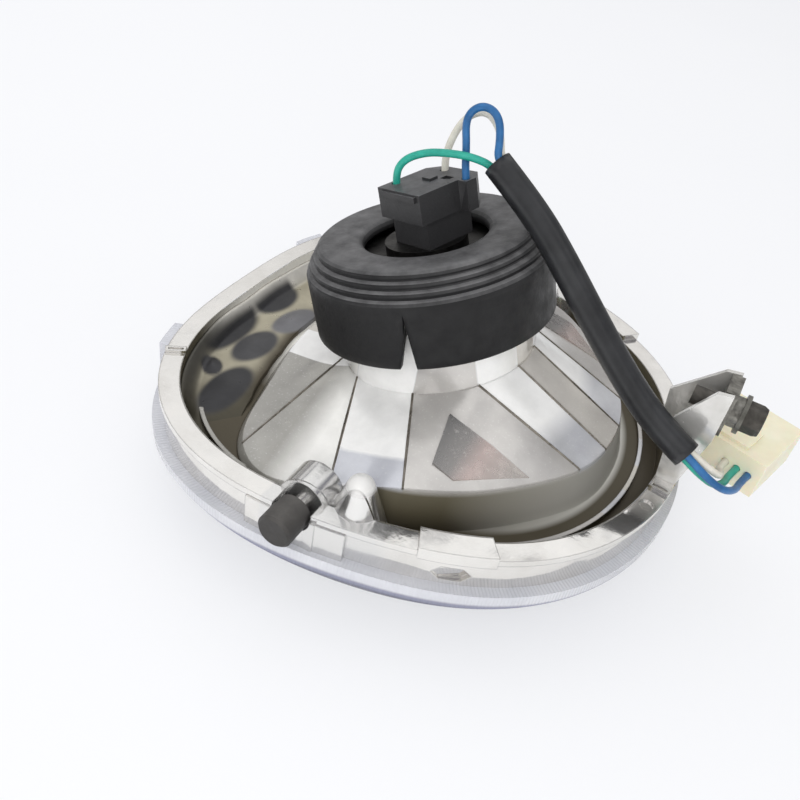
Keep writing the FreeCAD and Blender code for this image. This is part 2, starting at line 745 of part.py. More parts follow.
def adjuster_bolt():
    x0 = washer_x() + WASHER_T
    corner = BOLT_AF / 2 / math.cos(math.radians(30))
    points = []
    for i in range(6):
        a = math.radians(60 * i)
        points.append(V(x0, BRACKET_Y + corner * math.cos(a), BOLT_Z + corner * math.sin(a)))
    points.append(points[0])
    head = Part.Face(Part.makePolygon(points)).extrude(V(BOLT_HEAD, 0, 0))
    crown = Part.makeCone(corner + 1.6, corner - 0.7, BOLT_HEAD + 1.2, V(x0 - 0.6, BRACKET_Y, BOLT_Z), V(1, 0, 0))
    shank = Part.makeCylinder(BOLT_R, BOLT_L, V(x0 - BOLT_L, BRACKET_Y, BOLT_Z), V(1, 0, 0))
    return head.common(crown).fuse(shank).removeSplitter()


def pivot_stud():
    wall = stud_wall()
    return Part.makeCylinder(STUD_R, STUD_IN + STUD_OUT, V(STUD_X, -wall + STUD_IN, STUD_Z), V(0, -1, 0))


def pivot_cap():
    wall = stud_wall()
    depth = CAP_L - CAP_BASE
    start = -wall - STUD_OUT + depth
    end = start - CAP_L
    root = Part.makeCylinder(CAP_R - CAP_STEP, CAP_L - CAP_CHAMFER, V(STUD_X, start, STUD_Z), V(0, -1, 0))
    free = Part.makeCylinder(CAP_R, CAP_FREE, V(STUD_X, end + CAP_CHAMFER + CAP_FREE, STUD_Z), V(0, -1, 0))
    body = root.fuse(free)
    tip = Part.makeCone(CAP_R, CAP_R - CAP_CHAMFER, CAP_CHAMFER, V(STUD_X, end + CAP_CHAMFER, STUD_Z), V(0, -1, 0))
    bore = Part.makeCylinder(STUD_R + CAP_CLEAR, depth, V(STUD_X, start, STUD_Z), V(0, -1, 0))
    return body.fuse(tip).cut(bore).removeSplitter()


def plug_shape(shape):
    """From the plug's own frame (length, width, height from its near corner) to the rim's frame."""
    shape.rotate(V(0, 0, 0), V(0, 0, 1), PLUG_TURN)
    shape.translate(plug_corner())
    return shape


def plug_places():
    return [PLUG_FIRST + i * PLUG_PITCH for i in range(3)]


def plug_housing():
    body = box(0, PLUG_L, 0, PLUG_W, 0, PLUG_H)
    w = PLUG_WALL
    body = body.cut(box(PLUG_L - PLUG_DEPTH, PLUG_L + 1, w, PLUG_W - w, w, PLUG_H - w))
    body = body.fuse(box(2.0, PLUG_L - PLUG_DEPTH, PLUG_W * 0.3, PLUG_W * 0.7, PLUG_H, PLUG_H + PLUG_RIB))
    for place in plug_places():
        body = body.cut(Part.makeCylinder(WIRE_R + WIRE_CLEAR, WIRE_SEAT + 1, V(-1, place, PLUG_H / 2), V(1, 0, 0)))
    return plug_shape(body.removeSplitter())


def plug_terminals():
    low = PLUG_H / 2 - TERM_T / 2
    start = PLUG_L - PLUG_DEPTH
    blades = [box(start, start + TERM_L, p - TERM_W / 2, p + TERM_W / 2, low, low + TERM_T) for p in plug_places()]
    return Part.makeCompound([plug_shape(b) for b in blades])


def build():
    nodes = {
        "lens": lens(),
        "reflector_housing": reflector_housing(),
        "rubber_boot": rubber_boot(),
        "bulb_base": bulb_base(),
        "bulb_glass": bulb_glass(),
        "bulb_blades": bulb_blades(),
        "bulb_connector": bulb_connector(),
        "harness_sleeve": harness_sleeve(),
        "wire_green": wire("green"),
        "wire_blue": wire("blue"),
        "wire_white": wire("white"),
        "plug_housing": plug_housing(),
        "plug_terminals": plug_terminals(),
        "adjuster_bracket": adjuster_bracket(),
        "clip_nut": clip_nut(),
        "bolt_washer": bolt_washer(),
        "adjuster_bolt": adjuster_bolt(),
        "pivot_stud_a": pivot_stud(),
        "pivot_stud_b": mirrored(pivot_stud()),
        "pivot_cap_a": pivot_cap(),
        "pivot_cap_b": mirrored(pivot_cap()),
    }
    # The lens crown rests on the floor, and the middle of the lamp's length is above the origin
    lift = WALL_H + LENS_BAND + LENS_DOME
    front = washer_x() + WASHER_T + BOLT_HEAD
    middle = 0.5 * (front - rim_radius(180.0) - LENS_OVER)
    for shape in nodes.values():
        shape.translate(V(-middle, 0, lift))
    return nodes


os.makedirs("parts", exist_ok=True)
for name, shape in build().items():
    shape.exportStep("parts/" + name + ".step")
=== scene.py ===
import bpy
import bmesh
import math
from mathutils import Matrix, Vector


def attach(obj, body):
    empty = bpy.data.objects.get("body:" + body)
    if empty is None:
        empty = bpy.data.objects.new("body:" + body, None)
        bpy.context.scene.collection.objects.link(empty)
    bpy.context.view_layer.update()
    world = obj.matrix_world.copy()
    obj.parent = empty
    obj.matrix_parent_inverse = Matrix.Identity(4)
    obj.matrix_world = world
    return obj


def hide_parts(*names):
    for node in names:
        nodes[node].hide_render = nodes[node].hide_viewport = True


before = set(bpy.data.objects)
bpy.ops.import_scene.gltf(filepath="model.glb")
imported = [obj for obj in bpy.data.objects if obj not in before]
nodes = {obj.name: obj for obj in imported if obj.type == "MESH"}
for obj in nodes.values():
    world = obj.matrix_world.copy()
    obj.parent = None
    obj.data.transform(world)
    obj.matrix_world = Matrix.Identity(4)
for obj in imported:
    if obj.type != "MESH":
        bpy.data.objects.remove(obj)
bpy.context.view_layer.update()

from types import SimpleNamespace

scene = bpy.context.scene
scene.view_settings.view_transform = "Standard"
MM = 0.001

# The datum of the part's source in the row frame: the rim's centre, the top of its flange and the neck's axis
RIM_X = -0.0091256
RIM_Z = 0.0342
AXIS_X = RIM_X + 0.004
RAKE = math.radians(19.0)

# The rim's outline about its centre: its mean radius in millimetres and the share of each harmonic
RIM_R = 82.4
RIM_HARMONICS = {2: 0.006, 3: 0.044, 4: -0.027}


def lean(x, y, h):
    """From the neck's own frame to the row frame, in metres."""
    c = math.cos(RAKE)
    s = math.sin(RAKE)
    return Vector((AXIS_X + x * c - h * s, y, RIM_Z + x * s + h * c))


# Camera at the photograph's viewing angle: its axes and its place
right = Vector((0.86425, 0.48065, 0.14851))
up = Vector((-0.41399, 0.51181, 0.75277))
back = Vector((0.28581, -0.71206, 0.64132))
eye = Vector((0.06614, -0.21004, 0.20293))
cam_data = bpy.data.cameras.new("photo_camera")
cam_data.sensor_fit = "HORIZONTAL"
cam_data.sensor_width = 36.0
cam_data.lens = 38.25
cam_data.clip_start = 0.01
cam = bpy.data.objects.new("photo_camera", cam_data)
scene.collection.objects.link(cam)
turn = Matrix((right, up, back)).transposed().to_4x4()
cam.matrix_world = Matrix.Translation(eye) @ turn
scene.camera = cam


# Node trees
class Tree:
    """A node tree with short helpers. Masks are sockets that run from 0 to 1."""

    def __init__(self, tree, space):
        self.tree = tree
        self.tree.nodes.clear()
        self.coord = self.add("ShaderNodeTexCoord").outputs[space]

    def add(self, kind):
        return self.tree.nodes.new(kind)

    def link(self, a, b):
        self.tree.links.new(a, b)

    def noise(self, scale, detail=3.0, rough=0.55):
        tex = self.add("ShaderNodeTexNoise")
        tex.inputs["Scale"].default_value = scale
        tex.inputs["Detail"].default_value = detail
        tex.inputs["Roughness"].default_value = rough
        self.link(self.coord, tex.inputs["Vector"])
        return tex.outputs["Fac"]

    def ramp(self, fac, stops):
        """Colours or grey values by position, with straight lines between the stops."""
        node = self.add("ShaderNodeValToRGB")
        ramp = node.color_ramp
        while len(ramp.elements) < len(stops):
            ramp.elements.new(0.5)
        for element, (pos, value) in zip(ramp.elements, stops):
            element.position = pos
            if isinstance(value, (int, float)):
                value = (value, value, value)
            element.color = (*value, 1.0)
        self.link(fac, node.inputs["Fac"])
        return node.outputs["Color"]

    def along(self, length, stops, start=0.0, span=100.0):
        """A ramp over a length, with its stops in millimetres; it covers the span from the start on."""
        fac = self.math("MULTIPLY_ADD", length, 1.0 / (span * MM), -start / span)
        return self.ramp(fac, [((place - start) / span, value) for place, value in stops])

    def math(self, op, a, b=None, c=None, clamp=False):
        node = self.add("ShaderNodeMath")
        node.operation = op
        node.use_clamp = clamp
        for socket, value in zip(node.inputs, (a, b, c)):
            if value is None:
                continue
            if isinstance(value, (int, float)):
                socket.default_value = value
            else:
                self.link(value, socket)
        return node.outputs[0]

    def times(self, a, b):
        return self.math("MULTIPLY", a, b)

    def without(self, mask, other):
        """A mask with another one cut out of it."""
        return self.times(mask, self.math("SUBTRACT", 1.0, other))

    def mix(self, fac, a, b, blend="MIX"):
        """From one colour or grey value to another."""
        node = self.add("ShaderNodeMix")
        node.data_type = "RGBA"
        node.blend_type = blend
        if isinstance(fac, (int, float)):
            node.inputs[0].default_value = fac
        else:
            self.link(fac, node.inputs[0])
        for socket, value in ((node.inputs[6], a), (node.inputs[7], b)):
            if isinstance(value, (int, float)):
                value = (value, value, value)
            if isinstance(value, tuple):
                socket.default_value = (*value, 1.0)
            else:
                self.link(value, socket)
        return node.outputs[2]

    def blend(self, fac, first, second):
        """From one shader to another."""
        node = self.add("ShaderNodeMixShader")
        for socket, value in zip(node.inputs, (fac, first, second)):
            self.link(value, socket)
        return node.outputs[0]

    def xyz(self):
        sep = self.add("ShaderNodeSeparateXYZ")
        self.link(self.coord, sep.inputs[0])
        return sep.outputs


class Net(Tree):
    """A material's node tree round one shader."""

    def __init__(self, name):
        self.mat = bpy.data.materials.new(name)
        self.mat.use_nodes = True
        super().__init__(self.mat.node_tree, "Object")
        self.out = self.add("ShaderNodeOutputMaterial")
        self.bsdf = self.add("ShaderNodeBsdfPrincipled")
        self.link(self.bsdf.outputs[0], self.out.inputs["Surface"])

    def set(self, **values):
        for key, value in values.items():
            self.bsdf.inputs[key.replace("_", " ")].default_value = value

    def color(self, socket):
        self.link(socket, self.bsdf.inputs["Base Color"])

    def rough(self, socket):
        self.link(socket, self.bsdf.inputs["Roughness"])

    def bump(self, height, strength, distance, edge=0.0):
        """A bump in metres, over edges that are rounded to a radius where one is given."""
        node = self.add("ShaderNodeBump")
        node.inputs["Strength"].default_value = strength
        node.inputs["Distance"].default_value = distance
        self.link(height, node.inputs["Height"])
        if edge:
            soft = self.add("ShaderNodeBevel")
            soft.samples = 4
            soft.inputs["Radius"].default_value = edge
            self.link(soft.outputs[0], node.inputs["Normal"])
        self.link(node.outputs[0], self.bsdf.inputs["Normal"])

    def normal_z(self):
        geo = self.add("ShaderNodeNewGeometry")
        sep = self.add("ShaderNodeSeparateXYZ")
        self.link(geo.outputs["True Normal"], sep.inputs[0])
        return sep.outputs["Z"]

    def left_of(self, x, y, line, soft):
        """1 on the left of a line seen from above, 0 on its right, with a soft border."""
        start, end = line
        dx = end[0] - start[0]
        dy = end[1] - start[1]
        scale = 1.0 / (math.hypot(dx, dy) * soft)
        offset = (dy * start[0] - dx * start[1]) * scale + 0.5
        part = self.math("MULTIPLY_ADD", x, -dy * scale, offset)
        return self.math("MULTIPLY_ADD", y, dx * scale, part, clamp=True)

    def rim_angle(self, x, y):
        return self.math("ARCTAN2", y, self.math("SUBTRACT", x, RIM_X))

    def rim_distance(self, x, y):
        """Distance from the rim's centre, in metres."""
        dx = self.math("SUBTRACT", x, RIM_X)
        return self.math("SQRT", self.math("MULTIPLY_ADD", dx, dx, self.times(y, y)))

    def rim_edge(self, angle):
        """Radius of the rim's outline at an angle, in metres."""
        edge = 1.0
        for order, share in RIM_HARMONICS.items():
            wave = self.math("COSINE", self.times(angle, float(order)))
            edge = self.math("MULTIPLY_ADD", wave, share, edge)
        return self.times(edge, RIM_R * MM)


# Materials
def plain(name, dark, light, scale, rough, bump_scale, bump, metallic=0.0, **extra):
    """A surface with mottled colour, uneven roughness and a fine bump."""
    net = Net(name)
    net.set(Metallic=metallic, **extra)
    net.color(net.ramp(net.noise(scale, 5.0), [(0.3, dark), (0.7, light)]))
    net.rough(net.ramp(net.noise(scale * 2.3, 4.0), [(0.25, rough[0]), (0.75, rough[1])]))
    net.bump(net.noise(bump_scale, 3.0), bump, 0.4 * MM)
    return net.mat


def rubber(name, base, dust_and_sheen, dust_and_sheen_low, dust_and_sheen_high, rough):
    """Black rubber, paler on faces that look up: dusty there, and with a painted sheen where the top catches
    the light.
    """
    net = Net(name)
    net.set(Specular_IOR_Level=0.45)
    facing = net.ramp(net.normal_z(), [(dust_and_sheen_low, 0.0), (dust_and_sheen_high, 1.0)])
    patches = net.ramp(net.noise(160.0, 6.0, 0.65), [(0.3, 0.35), (0.7, 1.0)])
    # Paler where faces look up: dust, with a painted sheen of the lit top
    net.color(net.mix(net.times(facing, patches), base, dust_and_sheen))
    net.rough(net.ramp(net.noise(240.0, 4.0), [(0.3, rough[0]), (0.7, rough[1])]))
    net.bump(net.noise(900.0, 4.0), 0.25, 0.3 * MM)
    return net.mat


# Ridges of the bowl on the near side, from the neck's foot out to the crease, in the row frame
RIDGES = {
    0: ((0.02002, -0.00632, 0.05249), (0.05263, -0.00649, 0.03770)),
    1: ((0.01360, -0.01994, 0.05027), (0.04895, -0.02000, 0.03770)),
    4: ((-0.00261, -0.02984, 0.04469), (0.01084, -0.05799, 0.03740)),
    6: ((-0.02332, -0.02578, 0.03756), (-0.00800, -0.06489, 0.03220)),
    8: ((-0.03414, -0.01285, 0.03383), (-0.03924, -0.06173, 0.02780)),
}
RIDGE_BORDER = 0.0004
# Line across the petal between ridges 8 and 6, with a painted highlight on its left
HIGHLIGHT_LINE = ((-0.0287, -0.0193), (-0.0236, -0.0633))
HIGHLIGHT_BORDER = 0.010

# Painted reflections on the petals: before ridge 8, either side of the highlight line with a painted highlight
# on its left, and on the left of each further ridge
WELL_PETAL_REFLECTION = (0.47, 0.46, 0.43)
DIM_PETAL_REFLECTION = (0.53, 0.52, 0.485)
PETAL_HIGHLIGHT = (0.94, 0.935, 0.91)
PETAL_REFLECTIONS = {6: (0.66, 0.675, 0.73), 4: (0.66, 0.64, 0.62), 1: (0.74, 0.75, 0.79), 0: (0.72, 0.69, 0.64)}
# Painted highlight on the parts of two petals next to the neck
NECK_HIGHLIGHT = (0.96, 0.96, 0.955)

# Tones of the rim by haze, of the saddles and noses, of fine specks, and painted shade in the trench by
# height, darker towards its floor
RIM_TONES = [(0.3, (0.74, 0.72, 0.69)), (0.55, (0.85, 0.835, 0.81)), (0.75, (0.90, 0.875, 0.845))]
BOSS_TONE = (0.80, 0.795, 0.785)
SPECK_TONE = (0.95, 0.94, 0.92)
TRENCH_SHADE_TONES = [(23.6, (0.072, 0.060, 0.040)), (30.0, (0.142, 0.124, 0.082)), (37.2, (0.205, 0.186, 0.132))]
# A lighter painted reflection on the bowl's side under the crease, towards its end
BOWL_END_REFLECTION = (0.62, 0.61, 0.57)
# Painted light on the trench's back wall, which lies in shade; its metal is low so that it shows
BACK_WALL_PAINTED_LIGHT = (0.92, 0.905, 0.855)

# How metallic and how rough the film is in each zone
METAL = {
    "rim": 0.93, "petals": 0.42, "pale": 0.12, "trench": 0.45, "boss": 0.93, "tip": 0.25,
    "back_wall": 0.05,
}
ROUGH = {"boss": 0.18, "tip": 0.50, "trench": 0.40}


def reflector_zones(net):
    """Masks of the moulding's zones, with the noise that they share."""
    zone = SimpleNamespace(haze=net.noise(55.0, 6.0, 0.6))
    x, y, z = net.xyz()
    zone.x = x
    zone.z = z
    aside = net.math("ABSOLUTE", y)
    near_y = net.times(aside, -1.0)
    radius = net.rim_distance(x, y)
    gap = net.math("SUBTRACT", net.rim_edge(net.rim_angle(x, y)), radius)
    zone.inside = net.along(gap, [(6.0, 0.0), (6.3, 1.0)], span=10.0)

    # Petals: what lies on the left of each ridge, and the part of two petals next to the neck, where a
    # highlight is painted
    left = {k: net.left_of(x, near_y, line, RIDGE_BORDER) for k, line in RIDGES.items()}
    zone.left = left
    zone.pale_side = net.left_of(x, near_y, HIGHLIGHT_LINE, HIGHLIGHT_BORDER)
    wavy = net.math("MULTIPLY_ADD", zone.haze, 0.004, radius)
    front = net.times(net.without(left[6], left[4]), net.along(wavy, [(53.5, 1.0), (55.0, 0.0)]))
    end = net.times(net.without(left[1], left[0]), net.along(wavy, [(47.5, 1.0), (54.0, 0.0)]))
    zone.glow = net.math("ADD", front, end)

    # Saddles of the two caps with their noses, and the noses' tips
    boss_x = net.along(x, [(-20.0, 0.0), (-19.0, 1.0), (12.5, 1.0), (17.0, 0.0)], start=-50.0)
    zone.boss = net.times(net.along(aside, [(62.5, 0.0), (64.0, 1.0)]), boss_x)
    zone.tip = net.times(zone.boss, net.along(z, [(40.8, 0.0), (42.6, 1.0)]))

    # Trench, where painted shade goes: its floor, its two walls and the bowl's side under the crease, less the
    # tops of its ribs, which keep the bright film as a painted highlight
    floor_part = net.along(z, [(26.8, 1.0), (27.6, 0.0)])
    steep = net.ramp(net.normal_z(), [(0.40, 1.0), (0.55, 0.0)])
    side = net.times(steep, net.along(z, [(35.6, 1.0), (37.3, 0.0)]))
    low = net.times(net.math("MAXIMUM", floor_part, side), net.along(gap, [(4.6, 0.0), (5.4, 1.0)], span=10.0))
    rib_highlight = net.without(net.along(z, [(25.35, 0.0), (25.60, 1.0)]), steep)
    less_rib_highlight = net.math("MULTIPLY_ADD", rib_highlight, -0.85, 1.0, clamp=True)
    zone.trench = net.times(net.without(low, zone.boss), less_rib_highlight)
    # The trench's back wall, which gets painted light
    zone.back_wall = net.times(net.along(x, [(-55.0, 1.0), (-25.0, 0.0)], start=-100.0),
                               net.along(y, [(-35.0, 0.0), (-8.0, 1.0)], start=-50.0))
    # The bowl's side towards its end, which gets a lighter painted reflection
    zone.bowl_end = net.times(net.along(x, [(22.0, 0.0), (54.0, 1.0)]),
                              net.along(gap, [(16.5, 0.0), (18.5, 1.0)]))
    return zone


def reflector_color(net, zone):
    # The petals' painted reflections, with painted highlights beside the highlight line and next to the neck
    tone = net.mix(zone.left[8], WELL_PETAL_REFLECTION, net.mix(zone.pale_side, DIM_PETAL_REFLECTION, PETAL_HIGHLIGHT))
    for ridge, petal in PETAL_REFLECTIONS.items():
        tone = net.mix(zone.left[ridge], tone, petal)
    tone = net.mix(zone.glow, tone, NECK_HIGHLIGHT)
    mottle = net.ramp(zone.haze, [(0.30, 0.84), (0.55, 1.0), (0.75, 1.10)])
    tone = net.mix(1.0, tone, mottle, "MULTIPLY")
    bright = net.mix(zone.inside, net.ramp(zone.haze, RIM_TONES), tone)
    bright = net.mix(zone.boss, bright, BOSS_TONE)
    speck = net.ramp(net.noise(1500.0, 2.0), [(0.62, 0.0), (0.70, 0.30)])
    bright = net.mix(speck, bright, SPECK_TONE)
    # Painted shade in the trench, darker towards its floor, with a lighter painted reflection at the bowl's
    # end and painted light on the back wall
    trench = net.mix(zone.bowl_end, net.along(zone.z, TRENCH_SHADE_TONES), BOWL_END_REFLECTION)
    trench = net.mix(zone.back_wall, trench, BACK_WALL_PAINTED_LIGHT)
    net.color(net.mix(zone.trench, bright, trench))


def reflector_metal(net, zone):
    # Where highlights are painted the film is mostly diffuse, so that their colour shows
    pale = net.without(net.times(zone.pale_side, zone.left[8]), zone.left[6])
    pale = net.times(net.math("MAXIMUM", pale, zone.glow), zone.inside)
    metal = net.mix(zone.inside, METAL["rim"], METAL["petals"])
    metal = net.mix(pale, metal, METAL["pale"])
    metal = net.mix(zone.trench, metal, METAL["trench"])
    metal = net.mix(zone.boss, metal, METAL["boss"])
    metal = net.mix(zone.tip, metal, METAL["tip"])
    metal = net.mix(net.times(zone.trench, zone.back_wall), metal, METAL["back_wall"])
    net.link(metal, net.bsdf.inputs["Metallic"])


def reflector_rough(net, zone):
    rim = net.ramp(net.noise(90.0, 5.0, 0.6), [(0.35, 0.06), (0.75, 0.15)])
    petals = net.ramp(net.noise(70.0, 5.0, 0.6), [(0.35, 0.15), (0.55, 0.21), (0.75, 0.30)])
    film = net.mix(net.without(zone.inside, zone.boss), rim, petals)
    film = net.mix(zone.boss, film, ROUGH["boss"])
    film = net.mix(zone.tip, film, ROUGH["tip"])
    net.rough(net.mix(zone.trench, film, ROUGH["trench"]))


def reflector_material():
    """Metallised plastic: petals of differing brightness from painted reflections and highlights, a bright
    rim, olive sides in the trench under painted shade.
    """
    net = Net("metallised_plastic")
    zone = reflector_zones(net)
    reflector_color(net, zone)
    reflector_metal(net, zone)
    reflector_rough(net, zone)
    # Broad swells of the film, stronger on the rim and towards the adjuster, with a fine grain
    share = net.along(zone.x, [(-20.0, 0.2), (15.0, 1.0)], start=-50.0)
    swell = net.times(net.noise(30.0, 2.0, 0.4), net.math("MULTIPLY_ADD", zone.inside, -6.0, 11.0))
    height = net.math("MULTIPLY_ADD", net.noise(420.0, 4.0), 0.15, net.times(swell, share))
    net.bump(height, 0.6, 0.4 * MM, 0.5 * MM)
    return net.mat


FLUTES = 520.0


def lens_material():
    """Clear plastic, milky and finely fluted round its band, with painted shade in a dark line at the band's
    foot.
    """
    net = Net("clear_lens")
    net.set(Transmission_Weight=0.6, IOR=1.5, Coat_Weight=0.15)
    x, y, z = net.xyz()
    flute = net.math("SINE", net.times(net.rim_angle(x, y), FLUTES))
    band = net.along(z, [(15.0, 0.0), (16.8, 1.0)])
    foot = net.along(z, [(15.0, 0.0), (16.0, 1.0), (17.4, 1.0), (18.2, 0.0)])
    clear = net.ramp(net.noise(60.0, 4.0), [(0.3, (0.88, 0.90, 0.96)), (0.7, (0.95, 0.96, 0.98))])
    milky = net.ramp(net.noise(80.0, 4.0), [(0.3, (0.72, 0.735, 0.80)), (0.7, (0.82, 0.83, 0.885))])
    # Painted shade: a dark bluish line at the band's foot
    net.color(net.mix(foot, net.mix(band, clear, milky), (0.30, 0.31, 0.42)))
    net.link(net.mix(band, 0.88, 0.22), net.bsdf.inputs["Transmission Weight"])
    glassy = net.ramp(net.noise(150.0, 4.0), [(0.3, 0.015), (0.7, 0.05)])
    net.rough(net.mix(band, glassy, net.ramp(net.noise(220.0, 4.0), [(0.3, 0.10), (0.7, 0.24)])))
    net.bump(net.times(flute, band), 0.25, 0.2 * MM)
    return net.mat


def glass_material():
    """Clear bulb glass, faintly uneven."""
    net = Net("bulb_glass_skin")
    net.set(Transmission_Weight=1.0, IOR=1.46)
    net.color(net.ramp(net.noise(90.0, 3.0), [(0.3, (0.93, 0.95, 0.98)), (0.7, (0.99, 0.99, 1.0))]))
    net.rough(net.ramp(net.noise(300.0, 3.0), [(0.3, 0.0), (0.7, 0.06)]))
    net.bump(net.noise(200.0, 2.0), 0.05, 0.3 * MM)
    return net.mat


def ridge_material():
    """Dark brown on the ridges between the petals: painted shade, for the dark lines they show."""
    net = Net("ridge_shade")
    net.set(Metallic=0.8)
    net.color(net.ramp(net.noise(260.0, 4.0), [(0.35, (0.16, 0.145, 0.12)), (0.65, (0.34, 0.31, 0.27))]))
    net.rough(net.ramp(net.noise(400.0, 3.0), [(0.3, 0.22), (0.7, 0.40)]))
    net.bump(net.noise(700.0, 3.0), 0.15, 0.3 * MM)
    return net.mat


# Painted reflection along the facet, by X in millimetres
FACET_REFLECTION_TONES = [
    (13.0, (0.27, 0.265, 0.26)), (19.0, (0.36, 0.345, 0.335)),
    (24.0, (0.62, 0.515, 0.485)), (34.0, (0.56, 0.52, 0.485)),
]


def facet_material():
    """The triangle on the front petal, with a painted reflection: grey at one end, faintly pink at the other.
    """
    net = Net("facet_painted_reflection")
    net.set(Metallic=0.8)
    spots = net.ramp(net.noise(900.0, 3.0), [(0.60, 0.0), (0.70, 0.28)])
    net.color(net.mix(spots, net.along(net.xyz()["X"], FACET_REFLECTION_TONES), (0.75, 0.73, 0.70)))
    net.rough(net.ramp(net.noise(240.0, 4.0), [(0.3, 0.20), (0.7, 0.36)]))
    net.bump(net.noise(500.0, 3.0), 0.12, 0.3 * MM)
    return net.mat


def well_material():
    """Metallised floor of the well, cream with painted dark reflections in soft ovals and painted shade,
    carried by the mesh's colours.
    """
    net = Net("well_film")
    net.set(Metallic=0.55, Specular_IOR_Level=0.4)
    paint = net.add("ShaderNodeVertexColor")
    paint.layer_name = "tone"
    mottle = net.ramp(net.noise(120.0, 5.0, 0.6), [(0.3, 0.86), (0.7, 1.06)])
    net.color(net.mix(1.0, paint.outputs["Color"], mottle, "MULTIPLY"))
    net.rough(net.ramp(net.noise(200.0, 4.0), [(0.3, 0.26), (0.7, 0.42)]))
    net.bump(net.noise(300.0, 3.0), 0.08, 0.4 * MM)
    return net.mat


# Rubbers: name, base, the paler tone of faces that look up (dusty, with a painted sheen), how far a face looks
# up where it starts and where it is full, roughness range
RUBBERS = {
    "boot": ("boot_rubber", (0.008, 0.008, 0.009), (0.155, 0.155, 0.16), 0.25, 0.98, (0.42, 0.64)),
    "cap": ("cap_rubber", (0.030, 0.028, 0.027), (0.10, 0.095, 0.09), 0.2, 0.95, (0.42, 0.6)),
    "socket": ("socket_plastic", (0.030, 0.030, 0.032), (0.125, 0.125, 0.133), 0.35, 0.95, (0.36, 0.52)),
}
# Plain surfaces: name, dark and light tone, mottle's scale, roughness range, bump's scale and strength, metal
PLAIN = {
    "sleeve": ("sleeve_vinyl", (0.012, 0.0125, 0.014), (0.027, 0.028, 0.031),
               120.0, (0.28, 0.40), 700.0, 0.15),
    "green": ("wire_green_skin", (0.012, 0.27, 0.205), (0.03, 0.42, 0.32),
              200.0, (0.28, 0.42), 900.0, 0.1),
    "blue": ("wire_blue_skin", (0.012, 0.085, 0.23), (0.03, 0.16, 0.40),
             200.0, (0.28, 0.42), 900.0, 0.1),
    "white": ("wire_white_skin", (0.62, 0.60, 0.53), (0.80, 0.77, 0.69),
              200.0, (0.30, 0.45), 900.0, 0.1),
    "terminal": ("terminal_metal", (0.52, 0.40, 0.18), (0.75, 0.62, 0.34),
                 300.0, (0.2, 0.4), 900.0, 0.1, 1.0),
    "blade": ("blade_metal", (0.5, 0.49, 0.45), (0.66, 0.65, 0.6),
              300.0, (0.2, 0.4), 900.0, 0.1, 1.0),
    # The bulb's steel is darkened as painted shade, for the shadow it sits in
    "bulb": ("bulb_steel_painted_shade", (0.055, 0.054, 0.052), (0.11, 0.108, 0.103),
             260.0, (0.36, 0.55), 800.0, 0.15, 1.0),
    "bracket": ("bracket_plate", (0.62, 0.61, 0.585), (0.84, 0.83, 0.81),
                110.0, (0.14, 0.30), 700.0, 0.12, 0.65),
    "nut": ("nut_spring_steel", (0.10, 0.095, 0.085), (0.34, 0.33, 0.30),
            420.0, (0.25, 0.5), 900.0, 0.3, 0.8),
    "washer": ("washer_steel", (0.10, 0.098, 0.085), (0.26, 0.255, 0.23),
               260.0, (0.30, 0.5), 900.0, 0.2, 0.7),
    "bolt": ("bolt_steel", (0.045, 0.042, 0.038), (0.12, 0.112, 0.10),
             300.0, (0.34, 0.54), 900.0, 0.25, 0.7),
    "stud": ("stud_plate", (0.58, 0.57, 0.55), (0.80, 0.79, 0.77),
             160.0, (0.12, 0.3), 700.0, 0.1, 0.9),
}
MATS = {
    "reflector": reflector_material(),
    "lens": lens_material(),
    "ridge": ridge_material(),
    "facet": facet_material(),
    "well": well_material(),
    "glass": glass_material(),
    "plug": plain("plug_nylon", (0.76, 0.71, 0.52), (0.86, 0.815, 0.64), 90.0, (0.34, 0.5), 600.0, 0.12,
                  Subsurface_Weight=0.3, Subsurface_Scale=0.004),
}
for look, values in RUBBERS.items():
    MATS[look] = rubber(*values)
for look, values in PLAIN.items():
    MATS[look] = plain(*values)

CAD_LOOK = {
    "lens": "lens", "reflector_housing": "reflector", "bulb_base": "bulb", "bulb_glass": "glass",
    "bulb_blades": "blade", "bulb_connector": "socket", "plug_housing": "plug", "plug_terminals": "terminal",
    "adjuster_bracket": "bracket", "clip_nut": "nut", "bolt_washer": "washer", "adjuster_bolt": "bolt",
    "pivot_stud_a": "stud", "pivot_stud_b": "stud", "pivot_cap_a": "cap", "pivot_cap_b": "cap",
}
for node, look in CAD_LOOK.items():
    mesh = nodes[node].data
    mesh.materials.clear()
    mesh.materials.append(MATS[look])

# Small moulded and machined edges catch the light: width of their rounding in metres
EDGES = {
    "bulb_connector": 0.0005, "plug_housing": 0.0005,
    "adjuster_bolt": 0.0003, "adjuster_bracket": 0.0002,
}
WELD = 0.00001
SHARP = math.radians(40)
for node, width in EDGES.items():
    weld = nodes[node].modifiers.new("weld", "WELD")
    weld.merge_threshold = WELD
    bevel = nodes[node].modifiers.new("edges", "BEVEL")
    bevel.width = width
    bevel.segments = 2
    bevel.limit_method = "ANGLE"
    bevel.angle_limit = SHARP
    bevel.harden_normals = False


